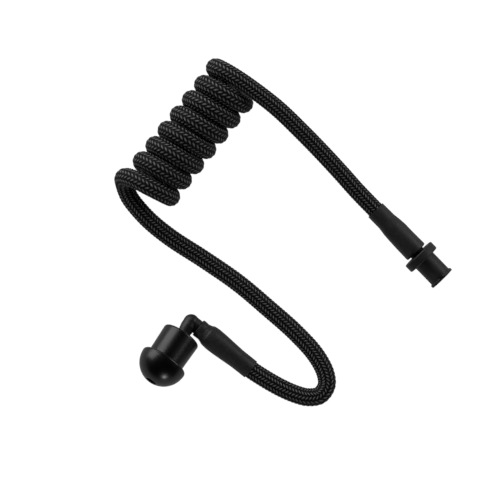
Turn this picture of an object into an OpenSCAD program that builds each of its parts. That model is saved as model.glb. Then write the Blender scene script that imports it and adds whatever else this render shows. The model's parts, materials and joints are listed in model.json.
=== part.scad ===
// Coiled air tube of a radio earpiece, lying on a flat surface at z = 0.
// A soft ear tip turns on a hollow elbow. A braid-covered air tube runs from the
// elbow through a close-wound coil to a twist-lock plug. A shrink sleeve closes the
// braid at each end. Millimetres, +Z up.

/* [Tube and jacket] */
// Outside diameter of the braided jacket
cord_d = 4.7; // [4.5:0.1:4.8]
// Outside diameter of the air tube under the jacket
tube_d = 3.6; // [3.4:0.1:3.6]
// Bore of the air tube
tube_bore_d = 2.4; // [2.4:0.1:2.6]

/* [Coil] */
// Distance from one turn to the next
coil_pitch = 5.2; // [5:0.1:5.4]
// Outside diameter of the coil
coil_d = 16.3; // [15.9:0.1:16.7]
// Turns held in the coil's own solid, the turns at its ends belong to the leads
coil_solid_turns = 5; // [4:0.5:5]
// Direction of the coil's axis seen from above, in degrees from +X
coil_az = 51.5; // [45:0.5:55]

/* [Ear tip] */
// Diameter of the mushroom dome
dome_d = 13; // [12:0.5:14]
// Diameter of the stem at its rear face
stem_d = 10.6; // [10.2:0.1:11]
// Diameter of the stem at the dome's skirt
stem_front_d = 10.1; // [9.8:0.1:10.6]
// Length of the stem, from its rear face to the dome's skirt
stem_l = 8.3; // [7:0.1:9]
// Sound opening at the top of the dome
mouth_d = 3; // [2:0.5:3.5]
// How far the tip looks up from the surface, in degrees
ear_tilt = 15; // [10:1:18]

/* [Elbow] */
// Angle between the post and the arm, in degrees
elbow_angle = 86.5; // [85:0.5:90]
// Diameter of the post that holds the ear tip
post_d = 3.5; // [3.4:0.1:3.6]
// Diameter of the arm that holds the tube
arm_d = 4; // [3.9:0.1:4]
// Bore of the elbow
elbow_bore_d = 1.3; // [1:0.1:1.5]

/* [Shrink sleeves] */
// Length of the sleeve at the ear
ear_sleeve_l = 18; // [17:0.1:18.5]
// Length of the sleeve at the plug
plug_sleeve_l = 15.4; // [15:0.1:16]
// Outside diameter over the jacket alone
sleeve_d = 5.3; // [5.2:0.1:5.4]
// Outside diameter where a spigot swells the tube under it
sleeve_bulge_d = 6.2; // [6:0.1:6.4]

/* [Twist-lock plug] */
// Diameter of the thumb flange
flange_d = 9.4; // [9:0.1:9.6]
// Thickness of the thumb flange
flange_t = 2.2; // [2:0.1:2.5]
// Diameter of the barrel
barrel_d = 6.3; // [6:0.1:6.5]
// Length of the barrel, from the flange to the end rim
barrel_l = 6.4; // [6:0.1:6.8]
// Diameter of the end rim
rim_d = 7.1; // [7:0.1:7.3]
// Thickness of the end rim
rim_t = 0.6; // [0.5:0.1:0.8]
// Width of each bayonet gap in the rim
rim_gap = 1.2; // [1:0.1:1.6]
// Diameter of the socket in the barrel's end
socket_d = 3.2; // [3:0.1:3.6]
// Depth of that socket
socket_l = 6; // [5:0.5:6.5]
// How far the plug points down at its free end, in degrees
plug_tilt = 3; // [2:1:5]

/* [Hidden] */
$fn = 64;

running_gap = 0.05;    // radial clearance of the two joints that turn
seat_gap = 0.05;       // clearance between nested pieces that do not move
over = 1;              // how far a cutter reaches past what it cuts
up = [0, 0, 1];
jacket_sides = 12;
tube_sides = 8;
jacket_r = cord_d / 2;
jacket_bore_r = (tube_d / 2 + seat_gap) / cos(180 / jacket_sides);
sleeve_bore_r = jacket_r + seat_gap;
spigot_r = tube_bore_d / 2 * cos(180 / tube_sides) - running_gap;
spigot_l = 6.8;

// Where the pieces lie: the elbow's corner, the middle of the plug's flange and the
// middle of the coil
elbow_at = [-27.7, -7.2, 3.85];
ear_az = -124.2;
ear_roll = -4;
plug_at = [33.7, 10.1, 4.82];
plug_az = -45.8;
coil_at = [-27.2, 43.4, 8.3];
coil_r = (coil_d - cord_d) / 2;
coil_solid_l = coil_solid_turns * coil_pitch;
channel_l = coil_solid_l - 2;

// Distances along the ear tip's axis from the elbow's corner
stem_rear = 4.4;
skirt_at = stem_rear + stem_l;
dome_mid = skirt_at + 0.8;
post_end = skirt_at - 1;
barb_at = stem_rear + 3.5;
barb_l = 1.4;
barb_h = 0.45;         // how far the barb stands out from the post

// Distances along the arm from the elbow's corner
ear_sleeve_at = 2.4;
ear_sleeve_end = ear_sleeve_at + ear_sleeve_l;
arm_end = 5.2;
ear_jacket_at = 5.7;

// Distances back along the plug's axis from the middle of its flange
neck_l = 1;
neck_r = 2.1;
plug_sleeve_at = flange_t / 2 + neck_l;
plug_sleeve_end = plug_sleeve_at + plug_sleeve_l;
plug_jacket_at = plug_sleeve_at + 1.1;

// Turns of the coil are counted from its middle. The regular helix ends at last_turn,
// and the leads' own solids begin clear of the coil's solid. The turns past loose_turn
// open out, both along the coil and across it, by end_open at last_turn.
last_turn = 3.25;
loose_turn = 2.5;
end_open = 0.3;
coil_clear = 0.12;
lead_turn = (coil_solid_l / 2 + jacket_r + coil_clear) / coil_pitch;
turn_steps = 12;

// From the coil to the elbow: over the last turn, down to the surface, along it and
// round the hairpin
ear_route = [
    [-35.0, 26.9, 12.2], [-39.0, 28.9, 13.8], [-43.1, 31.0, 12.1], [-45.5, 31.4, 8.1],
    [-45.6, 29.7, 4.3], [-44.3, 26.3, 2.7], [-42.1, 23.3, 2.5], [-38.6, 19.6, 2.5],
    [-33.1, 15.2, 2.5], [-24.3, 9.5, 2.5], [-15.2, 3.2, 2.5], [-7.0, -3.7, 2.5],
    [0.0, -9.9, 2.5], [5.6, -16.1, 2.5], [8.2, -21.1, 2.5], [8.4, -24.3, 2.5],
    [6.6, -26.8, 2.5], [3.4, -27.3, 2.5], [0.2, -26.5, 2.5], [-3.7, -24.8, 2.5],
    [-7.8, -22.5, 2.6]
];

// From the top of the coil down to the plug
plug_route = [
    [-19.4, 60.0, 12.3], [-15.9, 58.0, 13.9], [-12.2, 55.5, 13.9], [-4.8, 49.8, 12.7],
    [1.6, 43.7, 11.0], [6.9, 38.3, 9.4], [12.3, 32.5, 7.8], [16.5, 27.8, 6.7]
];

// A point at a distance along an axis given by azimuth and elevation
function along(az, el, d) = d * [cos(el) * cos(az), cos(el) * sin(az), sin(el)];
function unit(v) = v / norm(v);

// The ear tip's direction, the level one across it, and the arm's, which the roll dips
tip_dir = along(ear_az, ear_tilt, 1);
level_dir = unit(cross(up, tip_dir));
square_dir = cos(ear_roll) * level_dir + sin(ear_roll) * cross(tip_dir, level_dir);
arm_dir = cos(elbow_angle) * tip_dir + sin(elbow_angle) * square_dir;
function on_arm(d) = elbow_at + d * arm_dir;
function behind_plug(d) = plug_at - along(plug_az, -plug_tilt, d);

// A point of the coil's centreline, t turns from its middle. It is right-handed, and
// starts from the bottom at turn 0.
coil_dir = [cos(coil_az), sin(coil_az), 0];
coil_side = [sin(coil_az), -cos(coil_az), 0];
function opened(t) = end_open * max(0, abs(t) - loose_turn) / (last_turn - loose_turn);
function on_coil(t) =
    let (a = -90 - 360 * t)
    coil_at + (coil_pitch * t + sign(t) * opened(t)) * coil_dir
    + (coil_r + opened(t)) * cos(a) * coil_side + coil_r * sin(a) * up;
function coil_points(from, to) =
    let (n = round(abs(to - from) * turn_steps))
    [for (i = [0 : n]) on_coil(from + (to - from) * i / n)];

// Both leads as centrelines, from the coil outwards
ear_lead_line = concat(
    coil_points(-lead_turn, -last_turn), ear_route,
    [on_arm(ear_sleeve_end), on_arm(ear_jacket_at)]
);
plug_lead_line = concat(
    coil_points(lead_turn, last_turn), plug_route,
    [behind_plug(plug_sleeve_end), behind_plug(plug_jacket_at)]
);

// Frames carried along a line without twisting
function tangent(p, i) = unit(p[min(i + 1, len(p) - 1)] - p[max(i - 1, 0)]);
function carried(p, i, u) =
    let (t = tangent(p, i), v = unit(u - (u * t) * t))
    i == len(p) - 1 ? [v] : concat([v], carried(p, i + 1, v));
function ring(c, t, u, r, n) =
    let (w = cross(t, u))
    [for (k = [0 : n - 1]) c + r * (cos(360 * k / n) * u + sin(360 * k / n) * w)];
function rings(p, r, n) =
    let (u = carried(p, 0, unit(cross(tangent(p, 0), up))))
    [for (i = [0 : len(p) - 1]) each ring(p[i], tangent(p, i), u[i], r, n)];

// Arc as a list of outline points
function arc(c, r, a0, a1, n = 10) =
    [for (i = [0 : n]) c + r * [cos(a0 + (a1 - a0) * i / n), sin(a0 + (a1 - a0) * i / n)]];

// Open-ended hose along a line of points, as one polyhedron
module hose(p, r_out, r_in, n) {
    m = len(p);
    outer = rings(p, r_out, n);
    inner = rings(p, r_in, n);
    shift = n * m;
    function at(i, k) = i * n + (k % n);
    walls = [
        for (i = [0 : m - 2], k = [0 : n - 1]) each [
            [at(i, k), at(i + 1, k), at(i + 1, k + 1)],
            [at(i, k), at(i + 1, k + 1), at(i, k + 1)],
            [shift + at(i, k), shift + at(i + 1, k + 1), shift + at(i + 1, k)],
            [shift + at(i, k), shift + at(i, k + 1), shift + at(i + 1, k + 1)]
        ]
    ];
    ends = [
        for (k = [0 : n - 1]) each [
            [at(0, k), at(0, k + 1), shift + at(0, k + 1)],
            [at(0, k), shift + at(0, k + 1), shift + at(0, k)],
            [at(m - 1, k), shift + at(m - 1, k + 1), at(m - 1, k + 1)],
            [at(m - 1, k), shift + at(m - 1, k), shift + at(m - 1, k + 1)]
        ]
    ];
    polyhedron(concat(outer, inner), concat(walls, ends), convexity = 10);
}

// Local frames. At the elbow +X is the ear tip's axis, and z_to_arm turns +Z along the
// arm. At the plug +Z is its axis, forward. At the coil +Z is its axis, towards the plug.
module at_elbow() {
    translate(elbow_at) rotate([ear_roll, -ear_tilt, ear_az]) children();
}
module at_plug() {
    translate(plug_at) rotate([0, 90 + plug_tilt, plug_az]) children();
}
module at_coil() {
    translate(coil_at) rotate([0, 90, coil_az]) children();
}
module z_to_tip() {
    rotate([0, 90, 0]) children();
}
module z_to_arm() {
    rotate([0, 0, elbow_angle - 90]) rotate([-90, 0, 0]) children();
}
module annulus(r_out, r_in, h) {
    difference() {
        cylinder(r = r_out, h = h);
        translate([0, 0, -over]) cylinder(r = r_in, h = h + 2 * over);
    }
}

// Soft one-piece mushroom tip: stem, skirt and dome, with a socket for the elbow's post
module ear_tip() {
    stem_r = stem_d / 2;
    stem_front_r = stem_front_d / 2;
    dome_r = dome_d / 2;
    mouth_r = mouth_d / 2;
    socket_r = post_d / 2 + running_gap;
    groove_r = post_d / 2 + barb_h + running_gap;
    mouth_lip = 0.3;
    mouth_at = dome_mid + sqrt(dome_r * dome_r - pow(mouth_r + mouth_lip, 2));
    fillet = 0.4;
    rear_fillet = 0.7;
    outline = concat(
        [[socket_r, stem_rear]],
        arc([stem_r - rear_fillet, stem_rear + rear_fillet], rear_fillet, -90, 0, 4),
        [[stem_front_r, dome_mid + 0.1], [stem_front_r + 0.5, dome_mid + 0.1]],
        arc([dome_r - 0.55, dome_mid - fillet], fillet, -120, -20, 6),
        arc([0, dome_mid], dome_r, 0, acos((mouth_r + mouth_lip) / dome_r), 16),
        [[mouth_r, mouth_at - mouth_lip], [mouth_r, skirt_at + 0.6], [socket_r, skirt_at]],
        [
            [socket_r, barb_at + barb_l + 0.2], [groove_r, barb_at + barb_l + 0.2],
            [groove_r, barb_at - 0.1], [socket_r, barb_at - 0.1]
        ]
    );
    color("#1d1d1f") at_elbow() z_to_tip() rotate_extrude() polygon(outline);
}

// Hard elbow with a round corner: post with a barb for the tip, arm with a spigot for
// the tube, and a bore through both
module elbow() {
    post_r = post_d / 2;
    arm_r = arm_d / 2;
    bore_r = elbow_bore_d / 2;
    spigot_end = arm_end + spigot_l;
    color("#232325") at_elbow() difference() {
        union() {
            sphere(r = arm_r);
            z_to_tip() {
                cylinder(r = post_r, h = post_end);
                translate([0, 0, barb_at]) cylinder(r1 = post_r + barb_h, r2 = post_r, h = barb_l);
            }
            z_to_arm() {
                cylinder(r = arm_r, h = arm_end);
                cylinder(r = spigot_r, h = spigot_end);
            }
        }
        sphere(r = bore_r);
        z_to_tip() cylinder(r = bore_r, h = post_end + over);
        z_to_arm() cylinder(r = bore_r, h = spigot_end + over);
    }
}

// Shrink sleeve over the elbow's arm and the end of the jacket
module ear_shrink_sleeve() {
    arm_r = arm_d / 2 + seat_gap;
    bulge_r = sleeve_bulge_d / 2;
    start = ear_sleeve_at;
    outline = [
        [arm_r, start], [arm_r + 0.25, start], [arm_r + 0.35, start + 0.4],
        [arm_r + 0.35, start + 1.8], [arm_r + 0.55, start + 2.6], [bulge_r - 0.15, start + 3.5],
        [bulge_r, start + 5], [bulge_r, start + 7.4], [bulge_r - 0.3, start + 11.4],
        [sleeve_d / 2, start + 13.6], [sleeve_d / 2, ear_sleeve_end],
        [sleeve_bore_r, ear_sleeve_end], [sleeve_bore_r, ear_jacket_at - 0.3],
        [arm_r, ear_jacket_at - 0.7]
    ];
    color("#29292b") at_elbow() z_to_arm() rotate_extrude() polygon(outline);
}

// Braided jacket and the air tube inside it, on the way from the coil to the elbow
module jacket_ear_lead() {
    color("#1b1b1c") hose(ear_lead_line, jacket_r, jacket_bore_r, jacket_sides);
}
module air_tube_ear_lead() {
    color("#2e2e30")
        hose(concat(ear_lead_line, [on_arm(arm_end + seat_gap)]), tube_d / 2, tube_bore_d / 2,
            tube_sides);
}

// The coil's turns as one thick ring: the jacket closes round the tube on three sides
module jacket_coil() {
    channel_r = tube_d / 2 + seat_gap;
    color("#1b1b1c") at_coil() translate([0, 0, -coil_solid_l / 2]) difference() {
        annulus(coil_d / 2, coil_r - jacket_r, coil_solid_l);
        translate([0, 0, -over])
            annulus(coil_r + channel_r, coil_r - channel_r, channel_l + over);
    }
}
module air_tube_coil() {
    color("#2e2e30") at_coil() translate([0, 0, -coil_solid_l / 2])
        annulus(coil_r + tube_d / 2, coil_r - tube_d / 2, channel_l - seat_gap);
}

// Braided jacket and the air tube inside it, on the way from the coil to the plug
module jacket_plug_lead() {
    color("#1b1b1c") hose(plug_lead_line, jacket_r, jacket_bore_r, jacket_sides);
}
module air_tube_plug_lead() {
    color("#2e2e30")
        hose(concat(plug_lead_line, [behind_plug(plug_sleeve_at + seat_gap)]), tube_d / 2,
            tube_bore_d / 2, tube_sides);
}

// Shrink sleeve over the end of the jacket, up to the plug's neck
module plug_shrink_sleeve() {
    bulge_r = sleeve_bulge_d / 2;
    end_bore_r = tube_d / 2 + seat_gap;
    fillet = 0.5;
    start = plug_sleeve_at;
    outline = concat(
        [[end_bore_r, start]],
        arc([bulge_r - fillet, start + fillet], fillet, -90, 0, 5),
        [
            [bulge_r, start + 7], [bulge_r - 0.13, start + 8.9], [sleeve_d / 2, start + 11],
            [sleeve_d / 2, plug_sleeve_end], [sleeve_bore_r, plug_sleeve_end],
            [sleeve_bore_r, plug_jacket_at - 0.3], [end_bore_r, plug_jacket_at - 0.7]
        ]
    );
    color("#29292b") at_plug() mirror([0, 0, 1]) rotate_extrude() polygon(outline);
}

// Hard one-piece plug: spigot in the tube, neck, thumb flange, barrel, end rim with
// two bayonet gaps, socket for the sound nozzle and a sound passage
module twist_lock_plug() {
    flange_r = flange_d / 2;
    barrel_r = barrel_d / 2;
    rim_r = rim_d / 2;
    half_t = flange_t / 2;
    fillet = 0.35;
    flare_l = 0.3;
    rim_at = half_t + barrel_l;
    plug_end = rim_at + rim_t;
    neck_end = plug_sleeve_at - seat_gap;
    spigot_end = neck_end + spigot_l;
    outline = concat(
        [[0, -spigot_end], [spigot_r, -spigot_end], [spigot_r, -neck_end]],
        [[neck_r, -neck_end], [neck_r, -half_t]],
        arc([flange_r - fillet, fillet - half_t], fillet, -90, 0, 4),
        arc([flange_r - fillet, half_t - fillet], fillet, 0, 90, 4),
        [
            [barrel_r, half_t], [barrel_r, rim_at - flare_l], [rim_r, rim_at],
            [rim_r, plug_end], [0, plug_end]
        ]
    );
    color("#202022") at_plug() difference() {
        rotate_extrude() polygon(outline);
        translate([0, 0, plug_end - socket_l]) cylinder(d = socket_d, h = socket_l + over);
        translate([0, 0, -spigot_end - over]) cylinder(d = elbow_bore_d, h = spigot_end + plug_end);
        for (side = [0, 180]) rotate([0, 0, side])
            translate([barrel_r, -rim_gap / 2, rim_at - over])
                cube([rim_r, rim_gap, rim_t + 2 * over]);
    }
}

ear_tip();
elbow();
ear_shrink_sleeve();
jacket_ear_lead();
air_tube_ear_lead();
jacket_coil();
air_tube_coil();
jacket_plug_lead();
air_tube_plug_lead();
plug_shrink_sleeve();
twist_lock_plug();
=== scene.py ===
"""Looks of a coiled earpiece air tube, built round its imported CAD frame.

Every piece is a closed mesh in metres, in the CAD model's own frame. The braided jacket
and the air tube in it are swept along one smooth route, and the other pieces are turned
from rounded outlines about the axes that the model's joints give.
"""

import json
import math

import bpy
import numpy as np
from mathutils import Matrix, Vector


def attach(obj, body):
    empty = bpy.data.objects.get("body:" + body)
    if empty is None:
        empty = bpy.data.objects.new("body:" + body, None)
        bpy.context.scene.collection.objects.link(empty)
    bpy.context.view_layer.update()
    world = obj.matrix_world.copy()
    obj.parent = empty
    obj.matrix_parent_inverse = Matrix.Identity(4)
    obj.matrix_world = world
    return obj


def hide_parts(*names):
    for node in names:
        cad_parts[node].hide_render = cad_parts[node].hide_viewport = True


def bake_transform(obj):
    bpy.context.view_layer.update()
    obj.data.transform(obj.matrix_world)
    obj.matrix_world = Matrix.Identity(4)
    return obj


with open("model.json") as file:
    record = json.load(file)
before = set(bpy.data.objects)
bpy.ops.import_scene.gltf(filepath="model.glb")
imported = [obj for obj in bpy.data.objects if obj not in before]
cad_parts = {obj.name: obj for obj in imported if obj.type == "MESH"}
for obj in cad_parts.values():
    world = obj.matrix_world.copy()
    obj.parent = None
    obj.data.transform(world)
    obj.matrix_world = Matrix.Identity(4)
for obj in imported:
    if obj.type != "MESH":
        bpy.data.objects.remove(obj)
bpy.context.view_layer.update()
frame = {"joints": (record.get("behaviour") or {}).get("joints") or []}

MM = 0.001
JOINTS = {joint["name"]: joint for joint in frame["joints"]}

# ---------------------------------------------------------------------------
# Sizes and places, the same as in the CAD source

coil_pitch = 5.2 * MM
coil_d = 16.3 * MM
cord_d = 4.7 * MM
coil_radius = (coil_d - cord_d) / 2
coil_middle = np.array([-0.0272, 0.0434, 0.0083])
last_turn = 3.25
loose_turn = 2.5
end_open = 0.3 * MM
steps_per_turn = 24

# From the coil to the elbow: over the last turn, down to the surface, along it and
# round the hairpin
ear_route = [
    (-0.0350, 0.0269, 0.0122), (-0.0390, 0.0289, 0.0138), (-0.0431, 0.0310, 0.0121),
    (-0.0455, 0.0314, 0.0081), (-0.0456, 0.0297, 0.0043), (-0.0443, 0.0263, 0.0027),
    (-0.0421, 0.0233, 0.0025), (-0.0386, 0.0196, 0.0025), (-0.0331, 0.0152, 0.0025),
    (-0.0243, 0.0095, 0.0025), (-0.0152, 0.0032, 0.0025), (-0.0070, -0.0037, 0.0025),
    (0.0000, -0.0099, 0.0025), (0.0056, -0.0161, 0.0025), (0.0082, -0.0211, 0.0025),
    (0.0084, -0.0243, 0.0025), (0.0066, -0.0268, 0.0025), (0.0034, -0.0273, 0.0025),
    (0.0002, -0.0265, 0.0025), (-0.0037, -0.0248, 0.0025), (-0.0078, -0.0225, 0.0026),
]

# From the top of the coil down to the plug
plug_route = [
    (-0.0194, 0.0600, 0.0123), (-0.0159, 0.0580, 0.0139), (-0.0122, 0.0555, 0.0139),
    (-0.0048, 0.0498, 0.0127), (0.0016, 0.0437, 0.0110), (0.0069, 0.0383, 0.0094),
    (0.0123, 0.0325, 0.0078), (0.0165, 0.0278, 0.0067),
]


def unit(vector):
    vector = np.asarray(vector, float)
    return vector / np.linalg.norm(vector)


UP = np.array([0.0, 0.0, 1.0])
tip_axis = unit(JOINTS["ear_tip_swivel"]["axis"])
elbow_corner = np.array(JOINTS["ear_tip_swivel"]["pos_m"])
plug_axis = unit(JOINTS["plug_twist"]["axis"])
flange_middle = np.array(JOINTS["plug_twist"]["pos_m"])
coil_axis = unit(JOINTS["coil_stretch"]["axis"])
coil_side = np.cross(coil_axis, UP)

# The arm stands off the tip's axis by the elbow's angle, and dips a little below level
elbow_angle = math.radians(86.5)
ear_roll = math.radians(-4)
level = unit(np.cross(UP, tip_axis))
square = math.cos(ear_roll) * level + math.sin(ear_roll) * np.cross(tip_axis, level)
arm_axis = math.cos(elbow_angle) * tip_axis + math.sin(elbow_angle) * square


def on_arm(distance):
    return elbow_corner + distance * MM * arm_axis


def behind_plug(distance):
    return flange_middle - distance * MM * plug_axis


def on_coil(turn):
    """A point of the coil's centreline. The end turns open out along and across it."""
    angle = -2 * math.pi * (turn + 0.25)
    opened = end_open * max(0, abs(turn) - loose_turn) / (last_turn - loose_turn)
    along = coil_pitch * turn + math.copysign(opened, turn)
    across = (coil_radius + opened) * math.cos(angle)
    return (coil_middle + along * coil_axis + across * coil_side
            + coil_radius * math.sin(angle) * UP)


# ---------------------------------------------------------------------------
# Camera, made first of all

def make_camera():
    height = 4.0
    view_width = 0.13333
    view_middle = (-12 * MM, 12 * MM)
    middle_of_object = 8 * MM
    data = bpy.data.cameras.new("camera")
    data.sensor_width = 36
    data.lens = data.sensor_width * height / view_width
    data.clip_start = 0.05
    data.clip_end = 20
    camera = bpy.data.objects.new("camera", data)
    camera.location = (*view_middle, middle_of_object + height)
    bpy.context.scene.collection.objects.link(camera)
    bpy.context.scene.camera = camera


# ---------------------------------------------------------------------------
# Lines and frames

def spline(points):
    """A smooth curve through the points, and which point each of its own is past."""
    per_span = 16
    points = np.array(points, float)
    before = 2 * points[0] - points[1]
    after = 2 * points[-1] - points[-2]
    padded = np.vstack([before, points, after])
    knots = np.cumsum(np.r_[0, np.sqrt(np.linalg.norm(np.diff(padded, axis=0), axis=1))])
    curve = []
    place = []
    for i in range(1, len(padded) - 2):
        p0, p1, p2, p3 = padded[i - 1:i + 3]
        t0, t1, t2, t3 = knots[i - 1:i + 3]
        for share in np.arange(per_span) / per_span:
            t = t1 + share * (t2 - t1)
            a1 = (t1 - t) / (t1 - t0) * p0 + (t - t0) / (t1 - t0) * p1
            a2 = (t2 - t) / (t2 - t1) * p1 + (t - t1) / (t2 - t1) * p2
            a3 = (t3 - t) / (t3 - t2) * p2 + (t - t2) / (t3 - t2) * p3
            b1 = (t2 - t) / (t2 - t0) * a1 + (t - t0) / (t2 - t0) * a2
            b2 = (t3 - t) / (t3 - t1) * a2 + (t - t1) / (t3 - t1) * a3
            curve.append((t2 - t) / (t2 - t1) * b1 + (t - t1) / (t2 - t1) * b2)
            place.append(i - 1 + share)
    curve.append(points[-1])
    place.append(len(points) - 1)
    return np.array(curve), np.array(place)


def lengths_along(line):
    """How far along the line each of its points is."""
    return np.r_[0, np.cumsum(np.linalg.norm(np.diff(line, axis=0), axis=1))]


def resampled(line, along, at):
    """The line's points at other distances along it."""
    return np.stack([np.interp(at, along, column) for column in line.T], axis=1)


def carried_frames(line):
    """Tangents, and two cross directions that follow the line without twisting."""
    tangents = np.gradient(line, axis=0)
    tangents /= np.linalg.norm(tangents, axis=1)[:, None]
    across = unit(np.cross(tangents[0], UP))
    firsts = []
    for tangent in tangents:
        across = unit(across - np.dot(across, tangent) * tangent)
        firsts.append(across)
    firsts = np.array(firsts)
    return tangents, firsts, np.cross(tangents, firsts)


def swept(line, frames, radii, sides):
    """Rings of points round a line. radii has one value a ring, or one a point."""
    _, first, second = frames
    angle = 2 * np.pi * np.arange(sides) / sides
    radii = np.broadcast_to(np.asarray(radii).reshape(len(line), -1), (len(line), sides))
    out = (np.cos(angle)[None, :, None] * first[:, None, :]
           + np.sin(angle)[None, :, None] * second[:, None, :])
    return line[:, None, :] + radii[:, :, None] * out


# ---------------------------------------------------------------------------
# Meshes

sharp_edge = 32
sides_turned = 144


def ring_mesh(name, grid, ring_v, sharp_angle=sharp_edge):
    """A closed ring of rings of points as a smooth mesh, with a v for each ring."""
    rings, sides = grid.shape[:2]
    here = np.arange(rings)
    ahead = (here + 1) % rings
    around = np.arange(sides)
    around_next = (around + 1) % sides
    quads = np.stack([
        here[:, None] * sides + around[None, :],
        ahead[:, None] * sides + around[None, :],
        ahead[:, None] * sides + around_next[None, :],
        here[:, None] * sides + around_next[None, :],
    ], axis=2).reshape(-1, 4)
    points = grid.reshape(-1, 3)
    middle = points.mean(0)
    a, b, c, d = (points[quads[:, k]] - middle for k in range(4))
    volume = (np.cross(a, b) * c).sum() + (np.cross(a, c) * d).sum()
    corners = [0, 1, 2, 3] if volume > 0 else [0, 3, 2, 1]
    quads = quads[:, corners]

    mesh = bpy.data.meshes.new(name)
    mesh.vertices.add(len(points))
    mesh.vertices.foreach_set("co", points.astype(np.float32).ravel())
    mesh.loops.add(quads.size)
    mesh.loops.foreach_set("vertex_index", quads.astype(np.int32).ravel())
    mesh.polygons.add(len(quads))
    mesh.polygons.foreach_set("loop_start", np.arange(0, quads.size, 4, dtype=np.int32))
    mesh.polygons.foreach_set("use_smooth", np.ones(len(quads), bool))
    mesh.update(calc_edges=True)
    u = np.stack([around, around, around + 1, around + 1], axis=1) / sides
    u = np.broadcast_to(u[None], (rings, sides, 4)).reshape(-1, 4)
    v = np.stack([ring_v[here], ring_v[ahead], ring_v[ahead], ring_v[here]], axis=1)
    v = np.broadcast_to(v[:, None, :], (rings, sides, 4)).reshape(-1, 4)
    coordinates = np.stack([u[:, corners], v[:, corners]], axis=2)
    layer = mesh.uv_layers.new(name="round_and_along")
    layer.data.foreach_set("uv", coordinates.astype(np.float32).ravel())
    mesh.set_sharp_from_angle(angle=math.radians(sharp_angle))
    mesh.validate()
    piece = bpy.data.objects.new(name, mesh)
    bpy.context.scene.collection.objects.link(piece)
    return piece


def add_attribute(piece, name, values):
    attribute = piece.data.attributes.new(name, "FLOAT", "POINT")
    attribute.data.foreach_set("value", np.asarray(values, np.float32).ravel())


def rounded(outline, steps=7):
    """The closed outline's corners (along, radius, fillet) turned into smooth points."""
    points = []
    count = len(outline)
    for i, (x, r, fillet) in enumerate(outline):
        corner = np.array([x, r])
        back = np.array(outline[i - 1][:2]) - corner
        forward = np.array(outline[(i + 1) % count][:2]) - corner
        if fillet == 0:
            points.append(corner)
            continue
        back_length = np.linalg.norm(back)
        forward_length = np.linalg.norm(forward)
        back = back / back_length
        forward = forward / forward_length
        half = math.acos(np.clip(np.dot(back, forward), -1, 1)) / 2
        reach = min(fillet / math.tan(half), 0.49 * back_length, 0.49 * forward_length)
        radius = reach * math.tan(half)
        centre = corner + unit(back + forward) * radius / math.sin(half)
        start = corner + back * reach - centre
        end = corner + forward * reach - centre
        turn = math.pi - 2 * half
        way = 1 if start[0] * end[1] > start[1] * end[0] else -1
        for share in np.linspace(0, 1, steps):
            c, s = math.cos(way * turn * share), math.sin(way * turn * share)
            points.append(centre + [c * start[0] - s * start[1], s * start[0] + c * start[1]])
    return np.array(points)


def arc(centre, radius, start, end, steps):
    """Outline corners, not rounded again, along an arc given in degrees."""
    angles = np.radians(np.linspace(start, end, steps))
    return [(centre[0] + radius * math.cos(a), centre[1] + radius * math.sin(a), 0)
            for a in angles]


def turned(name, profile, origin, axis, shape=None):
    """A closed outline of (along, radius) points in mm, turned about an axis. A shape
    function may add to each point's radius."""
    side = unit(np.cross(axis, UP))
    top = np.cross(side, axis)
    angle = 2 * np.pi * np.arange(sides_turned) / sides_turned
    along = np.repeat(profile[:, :1], sides_turned, axis=1)
    radius = np.repeat(profile[:, 1:], sides_turned, axis=1)
    if shape is not None:
        radius = radius + shape(along, angle[None, :], radius)
    out = np.cos(angle)[:, None] * side + np.sin(angle)[:, None] * top
    grid = origin + MM * (along[:, :, None] * axis + radius[:, :, None] * out[None])
    return ring_mesh(name, grid, profile[:, 0] * MM)


def joined(name, pieces):
    """Several meshes as one piece."""
    for piece in bpy.context.selected_objects:
        piece.select_set(False)
    for piece in pieces:
        piece.select_set(True)
    bpy.context.view_layer.objects.active = pieces[0]
    bpy.ops.object.join()
    pieces[0].name = name
    pieces[0].data.name = name
    return pieces[0]


# ---------------------------------------------------------------------------
# Materials

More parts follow.
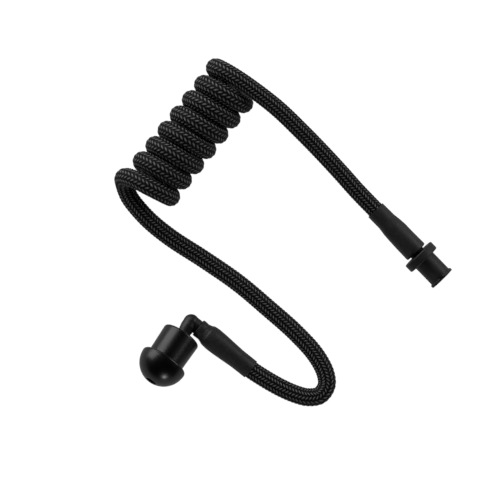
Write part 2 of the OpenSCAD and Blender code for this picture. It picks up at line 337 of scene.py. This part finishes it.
class Surface:
    """A Principled material, with short ways to add nodes to it."""

    def __init__(self, name, colour, roughness, **values):
        self.material = bpy.data.materials.new(name)
        self.material.use_nodes = True
        self.tree = self.material.node_tree
        self.shader = self.tree.nodes["Principled BSDF"]
        self.set("Base Color", (*colour, 1))
        self.set("Roughness", roughness)
        for socket, value in values.items():
            self.set(socket.replace("_", " "), value)

    def set(self, socket, value):
        self.shader.inputs[socket].default_value = value

    def node(self, kind, inputs=(), **settings):
        node = self.tree.nodes.new(kind)
        for key, value in settings.items():
            setattr(node, key, value)
        for key, value in dict(inputs).items():
            if isinstance(value, bpy.types.NodeSocket):
                self.tree.links.new(value, node.inputs[key])
            else:
                node.inputs[key].default_value = value
        return node

    def maths(self, operation, a, b):
        return self.node("ShaderNodeMath", {0: a, 1: b}, operation=operation).outputs[0]

    def place(self):
        return self.node("ShaderNodeTexCoord").outputs["Object"]

    def noise(self, vector, scale, detail, roughness=0.5):
        inputs = {"Vector": vector, "Scale": scale, "Detail": detail, "Roughness": roughness}
        return self.node("ShaderNodeTexNoise", inputs).outputs["Fac"]

    def between(self, value, low, high, from_low, from_high):
        """A value that runs from from_low to from_high, as one from low to high."""
        inputs = {"Value": value, "From Min": from_low, "From Max": from_high,
                  "To Min": low, "To Max": high}
        return self.node("ShaderNodeMapRange", inputs).outputs["Result"]

    def varied(self, noise, low, high):
        """A noise, whose values mostly lie from 0.3 to 0.7, as a value from low to high."""
        return self.between(noise, low, high, 0.3, 0.7)

    def mixed(self, factor, first, second):
        node = self.node("ShaderNodeMix", {"Factor": factor}, data_type="RGBA")
        node.inputs["A"].default_value = (*first, 1)
        node.inputs["B"].default_value = (*second, 1)
        return node.outputs["Result"]

    def link(self, output, socket):
        self.tree.links.new(output, self.shader.inputs[socket])

    def bump(self, height, depth, strength, after=None):
        inputs = {"Height": height, "Distance": depth, "Strength": strength}
        if after is not None:
            inputs["Normal"] = after
        return self.node("ShaderNodeBump", inputs).outputs["Normal"]


def silicone():
    """Satin black silicone: soft sheen, faint cloudiness and a very fine skin."""
    s = Surface("silicone", (0.003, 0.003, 0.0031), 0.31, IOR=1.47)
    at = s.place()
    cloud = s.noise(at, 260, 3)
    skin = s.noise(at, 5200, 2)
    s.link(s.varied(cloud, 0.28, 0.34), "Roughness")
    s.link(s.mixed(cloud, (0.002, 0.002, 0.0021), (0.0035, 0.0035, 0.0037)), "Base Color")
    s.link(s.bump(skin, 0.004 * MM, 0.6), "Normal")
    return s.material


def smooth_plastic():
    """Moulded plastic, nearly smooth, with faint flow clouds and handling marks."""
    s = Surface("elbow_plastic", (0.0045, 0.0045, 0.0046), 0.48, IOR=1.5)
    at = s.place()
    flow = s.noise(at, 500, 3)
    s.link(s.varied(flow, 0.42, 0.54), "Roughness")
    s.link(s.mixed(flow, (0.003, 0.003, 0.0031), (0.006, 0.006, 0.0062)), "Base Color")
    s.link(s.bump(s.noise(at, 1500, 2), 0.006 * MM, 0.5), "Normal")
    return s.material


def grained_plastic():
    """Moulded plastic with the fine grain of a spark-eroded mould."""
    s = Surface("plug_plastic", (0.011, 0.011, 0.0114), 0.53, IOR=1.49)
    at = s.place()
    grain = s.noise(at, 6500, 3, 0.7)
    worn = s.noise(at, 420, 2)
    s.link(s.varied(worn, 0.46, 0.60), "Roughness")
    s.link(s.mixed(grain, (0.008, 0.008, 0.0083), (0.015, 0.015, 0.0155)), "Base Color")
    s.link(s.bump(grain, 0.02 * MM, 0.7), "Normal")
    return s.material


def heat_shrink():
    """Matte heat-shrink tube, with faint flow clouds and fine pores."""
    s = Surface("shrink_sleeve", (0.019, 0.019, 0.0195), 0.5, IOR=1.48)
    around_along = s.node("ShaderNodeUVMap", uv_map="round_and_along").outputs["UV"]
    stretch = {"Vector": around_along, "Scale": (1.0, 40.0, 1.0)}
    flow = s.noise(s.node("ShaderNodeMapping", stretch).outputs[0], 26, 3)
    pores = s.noise(s.place(), 4200, 3, 0.65)
    s.link(s.varied(flow, 0.44, 0.56), "Roughness")
    s.link(s.mixed(flow, (0.015, 0.015, 0.0155), (0.024, 0.024, 0.0246)), "Base Color")
    fine = s.bump(pores, 0.012 * MM, 0.6)
    s.link(s.bump(flow, 0.03 * MM, 0.4, after=fine), "Normal")
    return s.material


def braided_yarn(lean_angle, circumference):
    """Black polyester yarn, its colour painted near black in the crevices between strands as
    painted shade and light on the strands' crests as a painted highlight. The filaments run along
    whichever strand lies on top.
    """
    s = Surface("braid", (0.02, 0.02, 0.0205), 0.6, Specular_IOR_Level=0.12)
    height = s.node("ShaderNodeAttribute", attribute_name="braid_height").outputs["Fac"]
    lean = s.node("ShaderNodeAttribute", attribute_name="braid_lean").outputs["Fac"]
    uv = s.node("ShaderNodeUVMap", uv_map="round_and_along").outputs["UV"]
    in_metres = s.node("ShaderNodeMapping", {"Vector": uv, "Scale": (circumference, 1, 1)})
    filaments = []
    for way in (1, -1):
        turned_uv = s.node("ShaderNodeMapping", {"Vector": in_metres.outputs[0],
                                                 "Rotation": (0, 0, way * lean_angle)})
        along_yarn = s.node("ShaderNodeMapping", {"Vector": turned_uv.outputs[0],
                                                  "Scale": (9.0, 1.0, 1.0)})
        filaments.append(s.noise(along_yarn.outputs[0], 1500, 3, 0.6))
    mix = s.node("ShaderNodeMix", {"Factor": lean, "A": filaments[1], "B": filaments[0]})
    filament = mix.outputs["Result"]
    s.link(s.varied(filament, 0.5, 0.7), "Roughness")
    # Painted shade and highlight: the base colour runs from near black where the braid_height
    # attribute is low, in the crevices, to light on the crests.
    shadow_below = 0.5
    crest_sharpness = 2.4
    painted_crest_light = s.maths("POWER", s.between(height, 0.0, 1.0, shadow_below, 1.0), crest_sharpness)
    painted_shade_and_highlight = s.maths("MULTIPLY", painted_crest_light, s.varied(filament, 0.5, 1.0))
    s.link(s.mixed(painted_shade_and_highlight, (0.0005, 0.0005, 0.0005), (0.31, 0.31, 0.314)), "Base Color")
    s.link(s.bump(filament, 0.03 * MM, 0.8), "Normal")
    return s.material


def soft_tube():
    """Smooth soft plastic with a faint haze."""
    s = Surface("air_tube", (0.02, 0.02, 0.021), 0.3, IOR=1.5)
    haze = s.noise(s.place(), 700, 3)
    s.link(s.varied(haze, 0.26, 0.4), "Roughness")
    s.link(s.mixed(haze, (0.016, 0.016, 0.0165), (0.026, 0.026, 0.027)), "Base Color")
    return s.material


def dress(piece, material):
    """Gives a piece its one material."""
    piece.data.materials.clear()
    piece.data.materials.append(material)


# ---------------------------------------------------------------------------
# The cord: one braided jacket and one air tube, from the elbow to the plug

# Distances in mm from the elbow's corner along its arm, and back from the flange's middle
arm_end = 5.25
ear_jacket_at = 5.7
ear_sleeve_end = 20.4
plug_neck_at = 1.95
plug_jacket_at = 3.2
plug_sleeve_end = 17.5

jacket_bore_radius = 1.87 * MM
tube_radius = 1.8 * MM
tube_bore_radius = 1.2 * MM

# The braid: how many yarns, how far one column of crossings is from the next along the
# jacket, how much a yarn is rounded and how much it waves, and the mesh's fineness
carriers = 24
column_step = 0.46 * MM
strand_height = 0.24 * MM
weave_height = 0.13 * MM
rings_per_column = 3
points_per_column = 4


def cord_route():
    """The route's points with, for each, how many turns of the coil are before it."""
    start = [on_arm(d) for d in np.linspace(arm_end, ear_sleeve_end, 5)]
    end = [behind_plug(d) for d in np.linspace(plug_sleeve_end, plug_neck_at, 5)]
    count = round(2 * last_turn * steps_per_turn)
    turns = np.linspace(-last_turn, last_turn, count + 1)
    helix = [on_coil(turn) for turn in turns]
    before = start + [np.array(p) for p in reversed(ear_route)]
    after = [np.array(p) for p in plug_route] + end
    points = np.array(before + helix + after)
    turn = np.r_[np.full(len(before), -last_turn), turns, np.full(len(after), last_turn)]
    return points, turn


def braid_relief(column, row):
    """Depth below the outermost yarn, and which way the yarn on top leans, for a
    two-over two-under braid. A strand moves one column round for each row along."""
    roundness = 2.4
    crossing = 0.02 * MM
    wave = np.cos(np.pi * (column - 0.5) / 2)
    left = np.mod(column - row + 1, 2) - 1
    right = np.mod(column + row + 1, 2) - 1
    left_height = weave_height * wave - strand_height * np.abs(left) ** roundness
    right_height = -weave_height * wave - strand_height * np.abs(right) ** roundness
    height = np.maximum(left_height, right_height) - weave_height
    lean = 1 / (1 + np.exp(-(left_height - right_height) / crossing))
    return height, lean


def jacket_radius(at, total, coil_start, coil_end):
    """Outer radius along the jacket: fullest in the coil, leanest towards the plug."""
    change = 10 * MM
    at_ear = 2.46
    in_coil = 2.52
    past_coil = 2.38
    at_plug = 2.37
    stations = [0, coil_start - change, coil_start, coil_end, coil_end + change, total]
    radii = np.array([at_ear, at_ear, in_coil, in_coil, past_coil, at_plug]) * MM
    return np.interp(at, stations, radii)


def make_jacket(curve, along, coil_start, coil_end):
    """The braid, from inside one shrink sleeve to inside the other. Also gives each
    ring's place along the cord."""
    total = along[-1]
    first = (ear_jacket_at - arm_end) * MM
    last = total - (plug_jacket_at - plug_neck_at) * MM
    at = np.arange(first, last, column_step / rings_per_column)
    line = resampled(curve, along, at)
    frames = carried_frames(line)
    sides = carriers * points_per_column
    column = np.arange(sides) / points_per_column
    height, lean = braid_relief(column[None, :], (at / column_step)[:, None])
    outer_radius = jacket_radius(at, total, coil_start, coil_end)
    outer = swept(line, frames, outer_radius[:, None] + height, sides)

    # The smooth inside needs only some of the rings, and runs back to the start
    inside_every = 9
    picked = np.unique(np.r_[np.arange(0, len(at), inside_every), len(at) - 1])[::-1]
    picked_frames = [part[picked] for part in frames]
    inner = swept(line[picked], picked_frames, np.full(len(picked), jacket_bore_radius), sides)
    ring_at = np.r_[at, at[picked]]
    jacket = ring_mesh("braided_jacket", np.concatenate([outer, inner]), ring_at, sharp_angle=180)

    # braid_height, the depth below the outermost yarn, also sets the braid material's painted
    # shade in the crevices and painted highlight on the crests.
    deepest = strand_height * 0.6 + weave_height
    shown = np.clip(1 + height / deepest, 0, 1)
    hidden = np.zeros(inner.shape[:2])
    add_attribute(jacket, "braid_height", np.concatenate([shown, hidden]))
    add_attribute(jacket, "braid_lean", np.concatenate([lean, hidden]))
    return jacket, ring_at


def make_air_tube(curve, along):
    """The air tube under the braid. Also gives each ring's place along the cord."""
    step = 1.0 * MM
    sides = 32
    at = np.linspace(0, along[-1], round(along[-1] / step) + 1)
    line = resampled(curve, along, at)
    frames = carried_frames(line)
    outer = swept(line, frames, np.full(len(at), tube_radius), sides)
    inner = swept(line, frames, np.full(len(at), tube_bore_radius), sides)
    ring_at = np.r_[at, at[::-1]]
    return ring_mesh("air_tube", np.concatenate([outer, inner[::-1]]), ring_at), ring_at


def spread_stretch(piece):
    """Bakes the piece's transform into its mesh."""
    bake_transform(piece)


def make_cord():
    points, turn = cord_route()
    curve, place = spline(points)
    along = lengths_along(curve)
    turn_along = np.interp(place, np.arange(len(turn)), turn)
    coil_start = along[np.argmax(turn_along > -last_turn)]
    coil_end = along[np.argmax(turn_along >= last_turn)]
    jacket, jacket_rings = make_jacket(curve, along, coil_start, coil_end)
    tube, tube_rings = make_air_tube(curve, along)
    for piece, ring_at in ((jacket, jacket_rings), (tube, tube_rings)):
        spread_stretch(piece)
    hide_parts("jacket_ear_lead", "jacket_coil", "jacket_plug_lead")
    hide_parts("air_tube_ear_lead", "air_tube_coil", "air_tube_plug_lead")
    circumference = math.pi * cord_d
    lean_angle = math.atan2(circumference / carriers, column_step)
    dress(jacket, braided_yarn(lean_angle, circumference))
    dress(tube, soft_tube())
    return jacket, tube, curve, along[-1]


# ---------------------------------------------------------------------------
# Pieces at the ear

def make_ear_tip():
    """Soft tip. Distances run from the elbow's corner, along the tip's axis."""
    stem_rear = 4.4
    stem_radius = 5.3
    stem_front_radius = 5.05
    dome_middle = 13.5
    dome_radius = 6.5
    lip_radius = 0.7
    mouth_radius = 1.5
    mouth_lip = 0.4
    socket_radius = 1.8
    socket_end = 12.7
    groove_start = 8.0
    groove_end = 9.8
    groove_radius = 2.3
    mouth_angle = math.degrees(math.acos((mouth_radius + mouth_lip) / dome_radius))
    mouth_at = dome_middle + dome_radius * math.sin(math.radians(mouth_angle))
    lip_middle = (dome_middle, dome_radius - lip_radius)
    skirt_at = dome_middle - 0.1
    outline = (
        [(stem_rear, socket_radius, 0.15), (stem_rear, stem_radius, 0.7),
         (skirt_at, stem_front_radius, 0.05), (skirt_at, stem_front_radius + 0.3, 0.05)]
        + arc(lip_middle, lip_radius, 205, 90, 12)
        + arc((dome_middle, 0), dome_radius, 90, 90 - mouth_angle, 40)
        + [(mouth_at + 0.08, mouth_radius, 0.3), (socket_end + 0.6, mouth_radius, 0.1),
           (socket_end, socket_radius, 0.1), (groove_end, socket_radius, 0.05),
           (groove_end, groove_radius, 0.1), (groove_start, groove_radius, 0.1),
           (groove_start, socket_radius, 0.05)]
    )
    tip = turned("ear_tip_silicone", rounded(outline), elbow_corner, tip_axis)
    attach(tip, "tip")
    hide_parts("ear_tip")
    dress(tip, silicone())


def make_elbow():
    """A hollow elbow: a ball corner, a barbed post for the tip, an arm and its spigot."""
    bore_radius = 0.65
    ball_radius = 2.1
    arm_radius = 2.0
    spigot_at = 5.2
    spigot_radius = 1.05
    spigot_end = 12.0
    arm = turned("elbow_arm", rounded([
        (0, arm_radius, 0), (spigot_at, arm_radius, 0.15), (spigot_at, spigot_radius, 0.05),
        (spigot_end, spigot_radius, 0.2), (spigot_end, bore_radius, 0.1), (0, bore_radius, 0),
    ]), elbow_corner, arm_axis)
    root_radius = 2.05
    post_radius = 1.75
    post_end = 11.7
    barb_at = 8.1
    barb_radius = 2.2
    post = turned("elbow_post", rounded([
        (0, root_radius, 0), (1.6, root_radius, 0.8), (3.4, post_radius, 1.5),
        (barb_at - 0.05, post_radius, 0.02), (barb_at, barb_radius, 0.08), (9.5, 1.78, 0.2),
        (post_end, post_radius, 0.25), (post_end, bore_radius, 0.1), (0, bore_radius, 0),
    ]), elbow_corner, tip_axis)
    ball_outline = [point[:2] for point in arc((0, 0), ball_radius, 179, 1, 36)]
    ball = turned("elbow_ball", np.array(ball_outline), elbow_corner, arm_axis)
    elbow = joined("elbow_fitting", [arm, post, ball])
    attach(elbow, "ear_lead")
    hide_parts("elbow")
    dress(elbow, smooth_plastic())


def ripple(along, angle, radius):
    """Slow hand-shrunk unevenness of a sleeve, in mm, on its outside only."""
    height = 0.016
    outside = radius > 2.5
    wave = (np.sin(2 * angle + 0.9 * along) + np.sin(3 * angle - 1.3 * along + 1)
            + np.sin(5 * angle + 0.5 * along + 2) + np.sin(1.7 * along + angle))
    return height * wave * outside


def make_ear_sleeve(material):
    """Narrow over the arm, full over the spigot and the jacket's end, slim behind them."""
    outline = [
        (2.4, 2.05, 0.03), (2.4, 2.45, 0.12), (3.0, 2.52, 0.4), (4.2, 2.44, 0.8), (5.1, 2.7, 0.8),
        (5.8, 3.04, 0.9), (7.4, 3.17, 1.5), (9.8, 3.1, 2.0), (13.8, 2.84, 3.0), (15.8, 2.7, 2.0),
        (20.4, 2.7, 0.06), (20.4, 2.38, 0.03), (5.4, 2.38, 0.3), (5.0, 2.05, 0.2),
    ]
    sleeve = turned("ear_sleeve", rounded(outline), elbow_corner, arm_axis, shape=ripple)
    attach(sleeve, "ear_lead")
    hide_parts("ear_shrink_sleeve")
    dress(sleeve, material)


# ---------------------------------------------------------------------------
# Pieces at the plug

def make_plug_sleeve(material):
    """Full over the spigot and slim behind it. Distances run back from the flange."""
    outline = [
        (1.88, 1.85, 0.03), (1.88, 3.2, 0.35), (7.0, 3.14, 2.0), (9.3, 3.1, 1.5),
        (11.2, 3.0, 1.5), (13.3, 2.72, 1.5), (17.5, 2.68, 0.06), (17.5, 2.36, 0.03),
        (2.9, 2.36, 0.2), (2.5, 1.85, 0.1),
    ]
    sleeve = turned("plug_sleeve", rounded(outline), flange_middle, -plug_axis, shape=ripple)
    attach(sleeve, "plug_lead")
    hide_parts("plug_shrink_sleeve")
    dress(sleeve, material)
    return sleeve


def make_plug():
    """Spigot, neck, thumb flange, barrel and a thin rim with two bayonet gaps."""
    bore_radius = 0.65
    spigot_end = -8.8
    spigot_radius = 1.05
    neck_at = -1.85
    neck_radius = 2.1
    flange_back = -1.25
    flange_front = 1.1
    flange_radius = 4.72
    barrel_radius = 3.15
    plug_end = 8.1
    socket_radius = 1.6
    socket_at = plug_end - 6
    body_outline = [
        (spigot_end, bore_radius, 0.1), (spigot_end, spigot_radius, 0.2),
        (neck_at, spigot_radius, 0.05), (neck_at, neck_radius, 0.05),
        (flange_back, neck_radius, 0.12), (flange_back, flange_radius, 0.3),
        (flange_front, flange_radius, 0.3), (flange_front, barrel_radius, 0.1),
        (plug_end, barrel_radius, 0.06), (plug_end, socket_radius, 0.15),
        (socket_at, socket_radius, 0.1), (socket_at, bore_radius, 0.05),
    ]
    body = turned("plug_body", rounded(body_outline), flange_middle, plug_axis)

    rim_at = 7.5
    rim_radius = 3.57
    rim_root = barrel_radius - 0.15
    gap_width = 1.2
    rim_outline = rounded([
        (rim_at - 0.35, rim_root, 0), (rim_at - 0.32, barrel_radius + 0.02, 0.1),
        (rim_at, rim_radius, 0.1), (plug_end, rim_radius, 0.1), (plug_end, rim_root, 0),
    ], steps=5)
    side = unit(np.cross(plug_axis, UP))
    top = np.cross(side, plug_axis)
    gap_half = math.asin(gap_width / 2 / rim_radius)
    parts = [body]
    for gap_middle in (0.5 * math.pi, 1.5 * math.pi):
        grid = []
        for angle in np.linspace(gap_middle + gap_half, gap_middle + math.pi - gap_half, 60):
            out = math.cos(angle) * side + math.sin(angle) * top
            grid.append([flange_middle + MM * (x * plug_axis + r * out) for x, r in rim_outline])
        parts.append(capped_mesh("rim_part", np.array(grid)))
    plug = joined("twist_plug", parts)
    plug.data.set_sharp_from_angle(angle=math.radians(sharp_edge))
    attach(plug, "plug")
    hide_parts("twist_lock_plug")
    dress(plug, grained_plastic())
    return plug


def capped_mesh(name, grid):
    """A row of closed loops of points, joined and capped at both ends."""
    rows, count = grid.shape[:2]
    faces = [(i * count + k, (i + 1) * count + k,
              (i + 1) * count + (k + 1) % count, i * count + (k + 1) % count)
             for i in range(rows - 1) for k in range(count)]
    faces.append(tuple(range(count)))
    faces.append(tuple(reversed(range((rows - 1) * count, rows * count))))
    mesh = bpy.data.meshes.new(name)
    mesh.from_pydata(grid.reshape(-1, 3).tolist(), [], faces)
    points = grid.reshape(-1, 3) - grid.reshape(-1, 3).mean(0)
    volume = sum(np.dot(np.cross(points[f[0]], points[f[i]]), points[f[i + 1]])
                 for f in faces for i in range(1, len(f) - 1))
    if volume < 0:
        mesh.flip_normals()
    mesh.polygons.foreach_set("use_smooth", np.ones(len(faces), bool))
    mesh.update()
    piece = bpy.data.objects.new(name, mesh)
    bpy.context.scene.collection.objects.link(piece)
    return piece


# ---------------------------------------------------------------------------
# Floor and light

def camera_only(tree, others, camera):
    """A value that is camera where the camera sees it, and others in reflections."""
    ray = tree.nodes.new("ShaderNodeLightPath")
    value = tree.nodes.new("ShaderNodeMapRange")
    value.inputs["To Min"].default_value = others
    value.inputs["To Max"].default_value = camera
    tree.links.new(ray.outputs["Is Camera Ray"], value.inputs["Value"])
    return value.outputs["Result"]


floor_glow = 1.0
floor_glow_on_object = 0.32
floor_shade = 0.1
floor_shade_on_object = 0.2
world_glow = 1.0
world_glow_on_object = 0.0


def make_floor():
    """White floor. It lights the object less than it shows, as a black part is
    photographed on white with the light kept off its underside."""
    half = 6.0
    height = -0.05 * MM
    corners = [(x, y, height)
               for x, y in ((-half, -half), (half, -half), (half, half), (-half, half))]
    mesh = bpy.data.meshes.new("floor")
    mesh.from_pydata(corners, [], [(0, 1, 2, 3)])
    floor = bpy.data.objects.new("floor", mesh)
    bpy.context.scene.collection.objects.link(floor)
    s = Surface("white_floor", (0.1, 0.1, 0.1), 0.9, Specular_IOR_Level=0.0)
    s.set("Emission Color", (1, 1, 1, 1))
    s.link(camera_only(s.tree, floor_glow_on_object, floor_glow), "Emission Strength")
    s.link(camera_only(s.tree, floor_shade_on_object, floor_shade), "Base Color")
    mesh.materials.append(s.material)


def area_light(name, azimuth, elevation, size, radiance):
    """A soft panel that faces the object. Azimuth is from +X towards +Y."""
    distance = 1.3
    aimed_at = Vector((-0.01, 0.01, 0.0))
    flat = math.cos(math.radians(elevation))
    towards = Vector((flat * math.cos(math.radians(azimuth)),
                      flat * math.sin(math.radians(azimuth)),
                      math.sin(math.radians(elevation))))
    data = bpy.data.lights.new(name, "AREA")
    data.shape = "RECTANGLE"
    data.size, data.size_y = size
    data.energy = radiance * math.pi * size[0] * size[1]
    light = bpy.data.objects.new(name, data)
    light.location = aimed_at + distance * towards
    light.rotation_euler = towards.to_track_quat("Z", "Y").to_euler()
    bpy.context.scene.collection.objects.link(light)


def make_lights():
    area_light("key", azimuth=126, elevation=15, size=(1.7, 1.3), radiance=3.2)
    area_light("side", azimuth=20, elevation=20, size=(0.8, 0.6), radiance=3.4)
    area_light("low_front", azimuth=-88, elevation=18, size=(0.17, 0.17), radiance=32)
    world = bpy.data.worlds.new("studio")
    world.use_nodes = True
    background = world.node_tree.nodes["Background"]
    background.inputs["Color"].default_value = (1, 1, 1, 1)
    strength = camera_only(world.node_tree, world_glow_on_object, world_glow)
    world.node_tree.links.new(strength, background.inputs["Strength"])
    bpy.context.scene.world = world
    bpy.context.scene.view_settings.view_transform = "Standard"


# ---------------------------------------------------------------------------

make_camera()
jacket, tube, curve, cord_length = make_cord()
sleeve_material = heat_shrink()
make_ear_tip()
make_elbow()
make_ear_sleeve(sleeve_material)
plug_sleeve = make_plug_sleeve(sleeve_material)
plug = make_plug()
make_floor()
make_lights()
